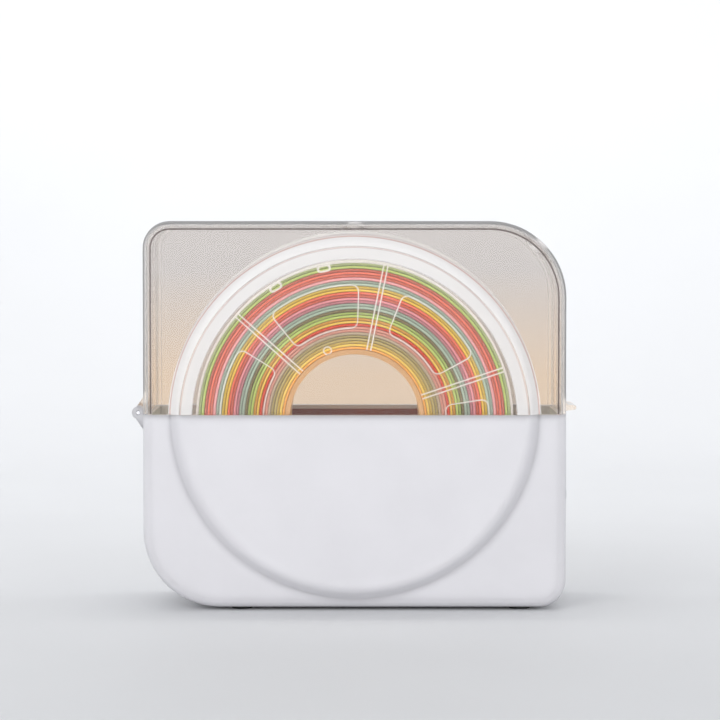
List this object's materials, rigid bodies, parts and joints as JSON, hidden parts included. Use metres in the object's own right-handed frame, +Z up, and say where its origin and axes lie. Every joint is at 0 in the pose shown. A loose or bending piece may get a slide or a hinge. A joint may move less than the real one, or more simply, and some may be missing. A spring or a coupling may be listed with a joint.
{
  "type": "filament dryer box",
  "caption": "White filament dryer box with a clear hinged lid, a heated trough on rollers and a spool inside.",
  "frame": {"origin": "on the table, under the middle of the box", "axes": "+X along the broad side from the hinge end to the control end, +Y back through the box, +Z up"},
  "size_m": [0.2816, 0.115, 0.244],
  "materials": {
    "shell_white": "smooth satin",
    "lid_clear": "clear polycarbonate",
    "liner_dark": "fine texture",
    "seal_grey": "matte silicone",
    "foot_black": "matte",
    "plug_clear": "translucent silicone",
    "flange_clear": "clear polystyrene",
    "hub_clear": "frosted clear plastic",
    "filament_mixed": "bands of colour",
    "steel": "turned",
    "zinc_screw": "zinc plated",
    "heat_aluminium": "mill finish",
    "film_amber": "polyimide film",
    "roller_nylon": "smooth",
    "bracket_grey": "fine texture",
    "fan_black": "moulded",
    "sensor_white": "moulded",
    "board_green": "solder mask",
    "lcd": "grey-green display",
    "panel_dark": "gloss",
    "window_clear": "tinted",
    "key_grey": "satin",
    "jack_black": "moulded",
    "lead_black": "cable sheath"
  },
  "bodies": {
    "base": {"base_shell": "shell_white", "inner_tray": "liner_dark", "lid_seal": "seal_grey", "heat_plate": "heat_aluminium", "heating_film": "film_amber", "hinge_pin": "steel", "left_roller_bracket": "bracket_grey", "right_roller_bracket": "bracket_grey", "left_roller_axle": "steel", "right_roller_axle": "steel", "roller_clips": "steel", "bracket_screws": "zinc_screw", "tray_screws": "zinc_screw", "fan_screws": "zinc_screw", "humidity_sensor": "sensor_white", "fan_frame": "fan_black", "control_board": "board_green", "display_board": "board_green", "power_jack": "jack_black", "lcd_module": "lcd", "display_window": "window_clear", "control_panel": "panel_dark", "power_lead": "lead_black", "fan_lead": "lead_black", "front_left_foot": "foot_black", "front_right_foot": "foot_black", "rear_left_foot": "foot_black", "rear_right_foot": "foot_black"},
    "lid": {"lid_shell": "lid_clear", "front_outlet_grommet": "plug_clear", "rear_outlet_grommet": "plug_clear", "top_outlet_grommet": "plug_clear"},
    "spool": {"front_flange": "flange_clear", "rear_flange": "flange_clear", "spool_hub": "hub_clear", "filament_winding": "filament_mixed"},
    "fan_rotor": {"fan_rotor": "fan_black"},
    "front_left_roller": {"front_left_roller": "roller_nylon"},
    "front_right_roller": {"front_right_roller": "roller_nylon"},
    "rear_left_roller": {"rear_left_roller": "roller_nylon"},
    "rear_right_roller": {"rear_right_roller": "roller_nylon"},
    "down_key": {"down_key": "key_grey"},
    "mode_key": {"mode_key": "key_grey"},
    "up_key": {"up_key": "key_grey"},
    "front_outlet_plug": {"front_outlet_plug": "plug_clear"},
    "top_outlet_plug": {"top_outlet_plug": "plug_clear"}
  },
  "joints": [
    {"name": "lid_hinge", "type": "hinge", "parent": "base", "child": "lid", "pos_m": [-0.1368, 0, 0.123], "axis": [0, -1, 0], "range_deg": [0, 100]},
    {"name": "spool_turn", "type": "hinge", "parent": "base", "child": "spool", "pos_m": [0, 0, 0.119], "axis": [0, 1, 0], "continuous": true},
    {"name": "fan_turn", "type": "hinge", "parent": "base", "child": "fan_rotor", "pos_m": [0.08841, 0, 0.04992], "axis": [0.788, 0, -0.6157], "continuous": true},
    {"name": "front_plug_pull", "type": "slide", "parent": "lid", "child": "front_outlet_plug", "axis": [0.7071, 0, 0.7071], "range_m": [0, 0.008]},
    {"name": "top_plug_pull", "type": "slide", "parent": "lid", "child": "top_outlet_plug", "axis": [0, 0, 1], "range_m": [0, 0.008]},
    {"name": "front_left_roller_turn", "type": "hinge", "parent": "base", "child": "front_left_roller", "pos_m": [-0.05415, -0.0315, 0.02521], "axis": [0, 1, 0], "continuous": true},
    {"name": "front_right_roller_turn", "type": "hinge", "parent": "base", "child": "front_right_roller", "pos_m": [0.05415, -0.0315, 0.02521], "axis": [0, 1, 0], "continuous": true},
    {"name": "rear_left_roller_turn", "type": "hinge", "parent": "base", "child": "rear_left_roller", "pos_m": [-0.05415, 0.0315, 0.02521], "axis": [0, 1, 0], "continuous": true},
    {"name": "rear_right_roller_turn", "type": "hinge", "parent": "base", "child": "rear_right_roller", "pos_m": [0.05415, 0.0315, 0.02521], "axis": [0, 1, 0], "continuous": true},
    {"name": "down_key_press", "type": "slide", "parent": "base", "child": "down_key", "axis": [-1, 0, 0], "range_m": [0, 0.0008], "stiffness_N_per_m": 600},
    {"name": "mode_key_press", "type": "slide", "parent": "base", "child": "mode_key", "axis": [-1, 0, 0], "range_m": [0, 0.0008], "stiffness_N_per_m": 600},
    {"name": "up_key_press", "type": "slide", "parent": "base", "child": "up_key", "axis": [-1, 0, 0], "range_m": [0, 0.0008], "stiffness_N_per_m": 600}
  ],
  "couplings": [
    {"joint": "front_left_roller_turn", "follows": "spool_turn", "ratio": -12.5},
    {"joint": "front_right_roller_turn", "follows": "spool_turn", "ratio": -12.5},
    {"joint": "rear_left_roller_turn", "follows": "spool_turn", "ratio": -12.5},
    {"joint": "rear_right_roller_turn", "follows": "spool_turn", "ratio": -12.5}
  ]
}
